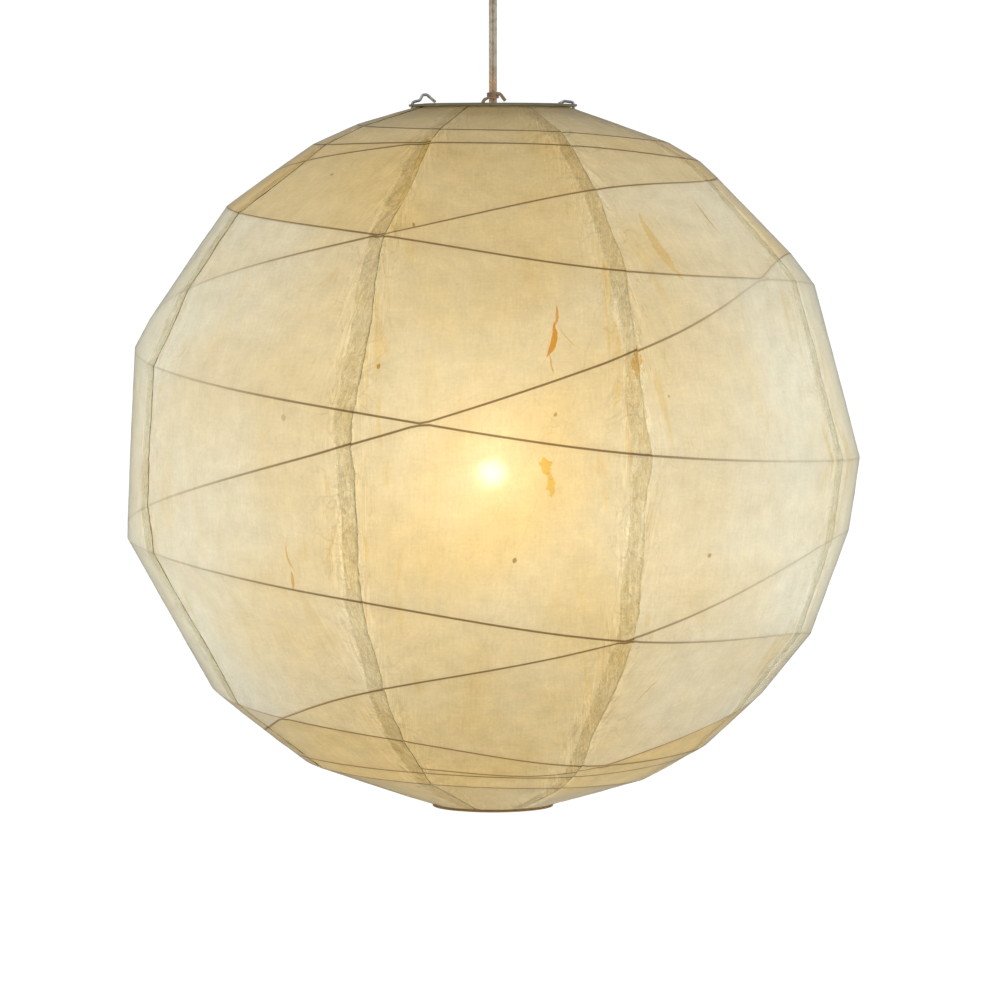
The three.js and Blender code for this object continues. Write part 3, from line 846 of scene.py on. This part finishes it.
def soaked_colour(n, sheet, level):
    """The colour of the strip under a lap: clear with paste, and gathered into lines."""
    paste = n.noise(n.stretched(sheet, 90, 45), 1.0, 4.0, 0.65, 0.8)
    soaked = n.mix(n.ramp(paste, 0.38, 0.62), (0.90, 0.87, 0.71), (1.0, 1.0, 0.96))
    gather = n.noise(n.stretched(sheet, 280, 75), 1.0, 4.0, 0.65, 1.6)
    soaked = n.mix(n.times(n.line(gather, 0.5, 0.06), 0.7), soaked, (0.62, 0.51, 0.31))
    return n.mix(n.ramp(n.math("ABSOLUTE", level), *CAP_EDGE), soaked, (0.84, 0.78, 0.62))


def lit_paper(n, through, reflect, tint, normal):
    """Matt paper with the light behind it, which lets a little of it straight through."""
    matt = n.shader("BsdfPrincipled", {"Base Color": reflect, "Roughness": 0.72,
                                       "Normal": normal, "Specular IOR Level": 0.3})
    glow = n.shader("BsdfTranslucent", {"Color": through, "Normal": normal})
    warmed = n.mix(1.0, through, (1, 0.90, 0.66), "MULTIPLY")
    halo = n.shader("BsdfRefraction", {"Color": warmed, "Roughness": 0.95, "IOR": 1.35})
    hot_spot = n.shader("BsdfRefraction", {"Color": tint, "Roughness": 0.45, "IOR": 1.1})
    gloss = n.shader("BsdfGlossy", {"Color": (0.42, 0.42, 0.40), "Roughness": 0.5})
    body = n.blend(0.003, n.blend(0.022, n.blend(0.58, matt, glow), halo), hot_spot)
    return n.blend(n.shader("Fresnel", {"IOR": 1.12}), body, gloss)


def paper_material():
    n = Nodes("washi")
    sheet = n.layer("sheet")
    place = n.layer("place")
    level = n.parts(place)[1]
    rib_away = n.parts(n.layer("lines"))[0]
    paint = n.add("SeparateColor", {0: n.add("Attribute", attribute_name="paint").outputs[0]})
    tone, under, near_seam = paint.outputs[0], paint.outputs[1], paint.outputs[2]

    cloud = n.noise(sheet, 9.0, 4.0, 0.5)
    pulp = n.noise(sheet, 420.0, 3.0, 0.6)
    tan = n.plus(tone, n.ramp(cloud, 0.35, 0.65, -0.10, 0.12, smooth=False), True)
    through = n.mix(tan, (0.645, 0.705, 0.762), (0.623, 0.468, 0.147))
    reflect = n.mix(tan, (0.44, 0.46, 0.445), (0.40, 0.335, 0.21))
    # Painted light and shade by level, with the paper's own grain on top.
    shade = n.plus(painted_light_by_level(n, level, tone), paper_grain(n, sheet, pulp))

    # Wrinkles: painted shade along thin creases, close together near the seams.
    folds = n.noise(n.stretched(sheet, 30, 22), 1.0, 3.0, 0.55, 0.6)
    crease_shade_line = n.times(n.line(folds, 0.5, 0.016), n.ramp(near_seam, 0.1, 0.9, 0.10, 0.6))
    shade = n.times(shade, n.minus(1.0, n.times(crease_shade_line, 0.24)))

    # Fibres: pale threads all over, and fewer brown ones.
    thread_line = n.line(n.noise(n.stretched(sheet, 22, 17), 1.0, 2.0, 0.5, 1.6), 0.5, 0.006)
    brown = n.times(n.times(thread_line, n.ramp(n.noise(sheet, 13.0, 2.0), 0.55, 0.65)), 0.5)
    shade = n.plus(shade, n.times(thread_line, 0.06))

    # Puckers down the sheet beside the seams: painted highlights along their ridges, and ochre
    # lines next to them.
    pucker = n.noise(n.stretched(sheet, 150, 14), 1.0, 3.0, 0.6, 0.7)
    ridge_highlight = n.times(n.line(pucker, 0.5, 0.04), n.ramp(near_seam, 0.4, 0.9))
    ochre_line = n.times(n.line(pucker, 0.56, 0.016), n.ramp(near_seam, 0.35, 0.95))
    shade = n.plus(shade, n.times(ridge_highlight, 0.16))

    # The lap itself is crinkled all over, with painted highlights along the crinkles and ochre
    # lines.
    on_lap = n.ramp(near_seam, 0.81, 0.86)
    crinkle = n.noise(n.stretched(sheet, 270, 120), 1.0, 4.0, 0.65, 1.4)
    shade = n.plus(shade, n.times(n.times(n.line(crinkle, 0.47, 0.05), on_lap), 0.2))
    lap_ochre = n.times(n.line(crinkle, 0.56, 0.022), on_lap)

    tint = (1, 1, 1)
    for share, colour in (
        (brown, (0.82, 0.62, 0.36)),
        (n.times(streaks(n, sheet, near_seam, level), 0.8), (0.95, 0.83, 0.54)),
        (n.times(ochre_line, 0.7), (0.86, 0.66, 0.36)),
        (on_lap, (0.97, 1.0, 1.04)),
        (n.times(lap_ochre, 0.8), (0.77, 0.64, 0.41)),
        # Painted shade: the paper is greyed just under the top rim, where the collar and holder
        # shade it.
        (n.ramp(level, 0.2515, 0.2575), (0.84, 0.82, 0.76)),  # close to the top rim
        (n.times(chips(n, sheet), 0.8), (0.55, 0.40, 0.22)),
    ):
        tint = n.mix(share, tint, colour)
    tint = marked(n, tint, sheet, place)
    grey = n.add("CombineColor", {0: shade, 1: shade, 2: shade}).outputs[0]
    tint = n.mix(1.0, tint, grey, "MULTIPLY")
    through = n.mix(1.0, through, tint, "MULTIPLY")
    reflect = n.mix(1.0, reflect, tint, "MULTIPLY")

    # Painted shadow: each rib's shadow on the lit paper is drawn as a brown line along it, fainter
    # where the paper is paler.
    rib_line = n.times(n.ramp(rib_away, 0.55, 1.1, 1.0, 0.0), n.ramp(tone, 0.12, 0.58, 0.18, 0.95))
    through = n.mix(rib_line, through, (0.20, 0.13, 0.05))
    reflect = n.mix(rib_line, reflect, (0.22, 0.17, 0.10))

    normal = n.bump(n.plus(n.times(folds, 0.6), n.times(pulp, 0.25)), 0.25, 0.6 * MM)
    paper = lit_paper(n, through, reflect, tint, normal)
    clear = n.shader("BsdfTransparent", {"Color": soaked_colour(n, sheet, level)})
    return n.end(n.blend(n.ramp(under, -0.5, -0.15), paper, clear))


# Each mark: azimuth in degrees, level, angle, length, width and bend in millimetres,
# then if its edges are rough, its colour and how strong it is.
ORANGE = (0.84, 0.46, 0.08)
STRAW = (0.86, 0.66, 0.30)
CHIP = (0.42, 0.36, 0.22)
MARKS = {
    "bark_head": ((10.7, 112, 12, 17, 2.4, -2.0), False, ORANGE, 0.8),
    "bark": ((9.9, 95, 16, 26, 4.6, -1.6), False, ORANGE, 0.95),
    "bark_tail": ((9.2, 79, -9, 16, 1.6, 1.0), False, (0.80, 0.50, 0.16), 0.7),
    "bark_arc": ((12.0, 97, -41, 23, 1.2, 1.6), False, STRAW, 0.6),
    "clump_top": ((7.9, 8, -11, 14, 7.5, 0.6), True, (0.92, 0.72, 0.24), 0.85),
    "clump_low": ((8.6, -6, -8, 18, 6.5, 0.6), True, (0.94, 0.76, 0.30), 0.85),
    "left_thread": ((-33.2, -59, -13, 24, 1.5, 2.4), False, STRAW, 0.8),
    "left_end": ((-32.5, -76, -3, 15, 2.8, -1.0), False, (0.84, 0.56, 0.22), 0.8),
    "right_thread": ((52.3, 181, -5, 28, 2.4, 1.4), False, (0.84, 0.56, 0.24), 0.8),
    "low_thread": ((31.8, -159, 32, 24, 1.3, 0.5), False, (0.86, 0.60, 0.28), 0.7),
    "seam_stain": ((23.0, 80, 8, 26, 8.0, 0.4), True, (0.88, 0.60, 0.22), 0.6),
    "tan_patch": ((33.1, 160, -12, 50, 11.0, 0.5), True, (0.93, 0.78, 0.48), 0.7),
    "front_speck": ((3.4, -59, 20, 4.6, 3.2, 0.0), False, CHIP, 0.9),
    "left_speck": ((-18.2, 77, 0, 4.2, 3.0, 0.0), False, (0.60, 0.42, 0.16), 0.9),
    "grey_speck": ((-32.8, 40, 0, 5.2, 4.2, 0.0), False, (0.66, 0.68, 0.62), 0.8),
    "middle_speck": ((9.4, 44, 30, 3.6, 2.4, 0.0), False, (0.66, 0.44, 0.16), 0.9),
    "top_speck": ((-15.9, 176, -40, 5.4, 2.4, 0.0), False, (0.55, 0.42, 0.20), 0.8),
}


def liner_material():
    """The paper's inner face: nearly all the light goes on to the outer face."""
    n = Nodes("washi_inside")
    sheet = n.layer("sheet")
    pulp = n.noise(sheet, 300.0, 3.0)
    pale = n.mix(n.ramp(pulp, 0.3, 0.7), (0.80, 0.76, 0.62), (0.88, 0.85, 0.74))
    clear = n.shader("BsdfTransparent", {"Color": (0.98, 0.97, 0.94)})
    matt = n.shader("BsdfPrincipled", {"Base Color": pale, "Roughness": 0.8})
    return n.end(n.blend(0.05, clear, matt))


rib_wire = grained("rib_wire", (0.30, 0.23, 0.15), (0.42, 0.35, 0.25), 300.0, (0.5, 0.7),
                   stretch=(1, 1, 4))
for piece_name, node in zip(RIB_PIECES, RIBS):
    start, way = RIBS[node]
    line = LINES[node]
    fine = np.arange(0, len(line) - 1 + 1e-9, 0.25)
    radii, levels = along(line[:, 0], fine), along(line[:, 1], fine)
    path = [around(r, start + way * RIB_STEP * s, z) for s, r, z in zip(fine, radii, levels)]
    rib = make(piece_name, *sweep(path, round_section(RIB_RADIUS, 8)), rib_wire,
               "lantern", "rib_wire", [node])
    rib.visible_shadow = False  # the rib's shadow is painted into the paper as a brown line instead
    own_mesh(rib)

steel = grained("drawn_steel", (0.50, 0.52, 0.53), (0.36, 0.37, 0.38), 120.0, (0.22, 0.45),
                metallic=1.0, stretch=(1, 1, 0.3))
for name, node, body, (radius, level, wire) in (
    ("top_rim_wire", "top_ring", "lantern", TOP_RING),
    ("bottom_rim_wire", "bottom_ring", "foot", BOTTOM_RING),
):
    make(name, *ring_shape(radius, level, wire), steel, body, "ring_wire", [node])

washi = [paper_material(), liner_material()]
for index in range(GORES):
    Gore(index).build(washi)


# ---------- rims ----------
def band_material(name, dark, pale, lit):
    """The same paper, doubled, as it is where it is folded over a rim, in the colours it is given.
    """
    n = Nodes(name)
    place = n.object_place()
    cloud = n.noise(place, 60.0, 4.0)
    pulp = n.noise(place, 700.0, 3.0)
    tone = n.ramp(n.plus(n.times(cloud, 0.7), n.times(pulp, 0.3)), 0.35, 0.65)
    matt = n.shader("BsdfPrincipled", {
        "Base Color": n.mix(tone, dark, pale),
        "Roughness": 0.75,
        "Normal": n.bump(pulp, 0.3, 0.4 * MM),
    })
    glow = n.shader("BsdfTranslucent", {"Color": lit})
    return n.end(n.blend(0.6, matt, glow))


def crumple(piece):
    """Gathers a rim band into a crumpled tuft where each of the two hooks comes through it."""
    for vertex in piece.data.vertices:
        x, y, z = vertex.co
        beside_hook = math.exp(-(y / (7 * MM)) ** 2)
        tuft = beside_hook * held((math.hypot(x, y) - 54 * MM) / (4 * MM))
        ruffle = noise.noise(Vector((x * 300, y * 420, z * 300)))
        vertex.co.z += 0.45 * (tuft * (1.6 + 2.6 * ruffle) * MM)


# The top band's darker colours are painted shade, for the holder's shadow over the top rim, on
# doubled paper.
shaded_top_paper = band_material("top_rim_paper", (0.40, 0.38, 0.30), (0.58, 0.55, 0.45),
                          (0.50, 0.42, 0.27))
foot_paper = band_material("foot_rim_paper", (0.50, 0.45, 0.34), (0.68, 0.62, 0.50),
                           (0.78, 0.58, 0.32))
top_band = turned_piece("top_rim_band", "top_collar", shaded_top_paper, "collar_paper", 0.25 * MM,
                        segments=192)
crumple(top_band)
turned_piece("bottom_rim_band", "bottom_collar", foot_paper, "collar_paper", 0.25 * MM, "foot")

# ---------- hanger and tie ----------
HANGER_WIRE = 1.1 * MM
HANGER_LEVEL = 256.8
EYE_RADIUS = 8.5
LEFT_HOOK = [(50, HANGER_LEVEL), (60.4, HANGER_LEVEL), (60.4, 266), (54.6, 267.4), (52.6, 271.6),
             (49.4, 271.6), (43, 266)]
RIGHT_HOOK = [(50, HANGER_LEVEL), (60.4, HANGER_LEVEL), (60.4, 266), (53.6, 266.8), (49.2, 264.8)]


def hook(side, points):
    return bent([Vector((side * x * MM, 0, CENTRE.z + z * MM)) for x, z in points], 2.4 * MM)


eye = [around(EYE_RADIUS * MM, -10 + 380 * i / 60, (HANGER_LEVEL + 2.9 * i / 60) * MM)
       for i in range(61)]
hanger_path = [*reversed(hook(-1, LEFT_HOOK)), *eye, *hook(1, RIGHT_HOOK)]
make("hanger", *sweep(hanger_path, round_section(HANGER_WIRE, 12)), steel, "lantern",
     "hanger_steel", ["hanger_wire"])

TIE_LEVEL = 271.5
TWINE = 1.1


def tie_path():
    """Three turns of twine round the flex, with a tail at each end."""
    def spot(x, y, z):
        return Vector((x * MM, y * MM, CENTRE.z + z * MM))
    coil = []
    for i in range(91):
        a = math.radians(-150 + 12.4 * i)
        coil.append(spot(3.95 * math.cos(a), 3.95 * math.sin(a), TIE_LEVEL - 2.4 + 3.6 * i / 90))
    left = bent([spot(-8.2, -1.4, 263.6), spot(-6.6, -2.4, 268.0), coil[0]], 3 * MM)
    right = bent([coil[-1], spot(5.2, -4.4, 272.4), spot(9.2, -3.0, 267.2)], 3 * MM)
    return left[:-1] + coil + right[1:]


twine = grained("brown_twine", (0.24, 0.16, 0.10), (0.50, 0.36, 0.24), 500.0, (0.6, 0.85),
                bump=0.5, depth=0.3 * MM)
path = tie_path()
TIE_COIL, TIE_TAIL = 0.62, 1.15  # the twine is pulled thin where it goes round the flex
twist = []
for i, point in enumerate(path):
    loose = held((math.hypot(point.x, point.y) / MM - 4.2) / 1.8)
    twist.append((1 + 0.10 * math.sin(2.2 * i)) * (TIE_COIL + loose * (TIE_TAIL - TIE_COIL)))
make("twine_tie", *sweep(path, round_section(TWINE * MM, 10), scales=twist), twine,
     "lantern", "tie_cord", ["cord_tie"])

# ---------- lamp holder ----------
cream_plastic = grained("moulded_plastic", (0.80, 0.77, 0.68), (0.72, 0.69, 0.60), 90.0,
                        (0.25, 0.4), bump=0.06, coat=0.15)
dark_plastic = grained("dark_plastic", (0.03, 0.028, 0.025), (0.06, 0.055, 0.05), 200.0,
                       (0.3, 0.5), bump=0.1)
porcelain = grained("porcelain", (0.82, 0.80, 0.76), (0.74, 0.72, 0.67), 140.0, (0.12, 0.25),
                    bump=0.05, coat=0.6)
brass = grained("tarnished_brass", (0.72, 0.52, 0.24), (0.44, 0.31, 0.15), 150.0,
                (0.2, 0.45), metallic=1.0)
cap_metal = grained("nickel_cap", (0.68, 0.66, 0.60), (0.48, 0.46, 0.42), 150.0,
                    (0.18, 0.35), metallic=1.0)
solder = grained("solder", (0.55, 0.55, 0.56), (0.38, 0.38, 0.40), 300.0, (0.3, 0.5), metallic=1.0)

turned_piece("lamp_holder_cap", "holder_cap", cream_plastic, "holder_plastic", 1.2 * MM)
turned_piece("lamp_holder_body", "holder_body", cream_plastic, "holder_plastic", 0.6 * MM)
turned_piece("lamp_holder_ring", "holder_ring", cream_plastic, "holder_plastic", 0.5 * MM)
turned_piece("flex_grip", "cord_grip", dark_plastic, "dark_plastic", 0.3 * MM)


def bevelled(node, material, width=0.3 * MM):
    """A CAD node shown as it is, with its edges eased and a worked-out finish."""
    thing = frame["nodes"][node]
    thing.data.materials[0] = material
    ease = thing.modifiers.new("ease", "BEVEL")
    ease.width = width
    ease.segments = 2
    ease.limit_method = "ANGLE"
    ease.angle_limit = math.radians(40)


bevelled("holder_insert", porcelain, 0.4 * MM)
bevelled("terminal_screw_left", brass, 0.15 * MM)
bevelled("terminal_screw_right", brass, 0.15 * MM)
bevelled("centre_contact", brass, 0.1 * MM)


def threaded(node, low, high, depth, pitch=3.6 * MM, segments=72, rows=36):
    """A turned CAD node with a screw thread rolled between two heights."""
    outline, closed = outline_of(node)
    fine = []
    ahead = outline[1:] + (outline[:1] if closed else [])
    for (r1, z1), (r2, z2) in zip(outline, ahead):
        count = rows if abs(z2 - z1) > (high - low) * 0.7 else 1
        for i in range(count):
            t = i / count
            fine.append((r1 + t * (r2 - r1), z1 + t * (z2 - z1)))
    if not closed:
        fine.append(outline[-1])
    points, faces = turn(fine, closed, segments)
    rolled = []
    for x, y, z in points:
        radius = math.hypot(x, y)
        inside = held(min((z - low) / pitch, (high - z) / pitch))
        if radius > 1e-6:
            wave = math.sin(2 * math.pi * (z / pitch - math.atan2(x, -y) / (2 * math.pi)))
            scale = (radius - depth * inside * (0.5 - 0.5 * wave)) / radius
            x, y = x * scale, y * scale
        rolled.append((x, y, z))
    return outward((rolled, faces))


shell_low, shell_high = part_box("screw_shell")
make("thread_shell", *threaded("screw_shell", shell_low.z, shell_high.z - 2 * MM, 0.35 * MM), brass,
     "lantern", "brass", ["screw_shell"])

# ---------- bulb ----------
def bulb_material():
    """Frosted glass, lit from within."""
    n = Nodes("frosted_glass")
    place = n.object_place()
    frost = n.noise(place, 900.0, 3.0)
    away = n.away(n.parts(place)[2], BULB.z)
    heat = n.mix(n.ramp(away, 5 * MM, 60 * MM), (1.0, 0.81, 0.47), (0.90, 0.60, 0.28))
    glow = n.shader("Emission", {"Color": heat, "Strength": 0.98})
    gloss = n.shader("BsdfGlossy", {
        "Color": (0.9, 0.9, 0.88),
        "Roughness": n.ramp(frost, 0.3, 0.7, 0.3, 0.5),
        "Normal": n.bump(frost, 0.1, 0.1 * MM),
    })
    return n.end(n.blend(n.shader("Fresnel", {"IOR": 1.45}), glow, gloss))


envelope = turned_piece("bulb_envelope", "bulb_glass", bulb_material(), "frosted_glass", 4 * MM,
                        "bulb")
envelope.visible_shadow = False
cap_low, cap_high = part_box("bulb_cap")
make("bulb_screw_cap", *threaded("bulb_cap", cap_low.z + 2 * MM, cap_high.z - 5 * MM, 0.6 * MM),
     cap_metal, "bulb", "cap_metal", ["bulb_cap"])
turned_piece("bulb_insulator", "bulb_cap_insulator", dark_plastic, "dark_plastic", 0.3 * MM,
             "bulb", 48)
turned_piece("bulb_contact", "bulb_tip_contact", solder, "solder", 0.8 * MM, "bulb", 48)
stem_glass = grained("stem_glass", (0.86, 0.88, 0.86), (0.78, 0.82, 0.80), 90.0,
                     (0.05, 0.15), coat=0.5)
mount = turned_piece("bulb_mount", "bulb_stem", stem_glass, "clear_glass", 0.8 * MM, "bulb", 48)
hot_wire = emission("hot_filament", (1.0, 0.72, 0.36), 30.0)
FILAMENT_RADIUS, FILAMENT_LEVEL, COIL_RADIUS = 10 * MM, -16 * MM, 0.5 * MM
filament = []
for i in range(121):
    share = i / 120
    coil_angle = 60 * math.pi * share
    ring_point = around(FILAMENT_RADIUS, -150 + 300 * share, FILAMENT_LEVEL)
    away_from_axis = Vector((ring_point.x, ring_point.y, 0)).normalized()
    filament.append(ring_point + COIL_RADIUS * (math.cos(coil_angle) * away_from_axis
                                             + math.sin(coil_angle) * Vector((0, 0, 1))))
glowing = make("bulb_coil", *sweep(filament, round_section(0.25 * MM, 6)), hot_wire,
               "bulb", "filament", ["bulb_filament"])
glowing.visible_shadow = False
mount.visible_shadow = False

# ---------- ceiling rose ----------
rose_white = grained("rose_plastic", (0.78, 0.77, 0.73), (0.72, 0.71, 0.66), 70.0,
                     (0.3, 0.45), bump=0.05, coat=0.1)
galvanised = grained("galvanised_plate", (0.52, 0.54, 0.55), (0.40, 0.42, 0.44), 60.0,
                     (0.3, 0.55), metallic=1.0, bump=0.1)
terminal_plastic = grained("terminal_plastic", (0.70, 0.68, 0.60), (0.60, 0.58, 0.50),
                           120.0, (0.35, 0.5), bump=0.08)
turned_piece("rose_cover", "rose_cup", rose_white, "rose_plastic", 1.5 * MM, "rose", 128)
bevelled("ceiling_bracket", galvanised, 0.25 * MM)
bevelled("rose_screw_left", steel, 0.15 * MM)
bevelled("rose_screw_right", steel, 0.15 * MM)
bevelled("terminal_block", terminal_plastic, 0.5 * MM)

knot_low, knot_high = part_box("cord_knot")
knot_middle = (knot_low.z + knot_high.z) / 2
knot_line = []
for i in range(96):
    a = 2 * math.pi * i / 96
    reach = (6.1 + 0.55 * math.cos(3 * a)) * MM
    knot_line.append((reach * math.cos(2 * a), reach * math.sin(2 * a),
                      knot_middle + 1.3 * MM * math.sin(3 * a)))
make("flex_knot", *sweep(knot_line, round_section(1.25 * MM, 10), closed=True),
     bpy.data.materials["clear_flex"], "knot", "cord_jacket", ["cord_knot"])
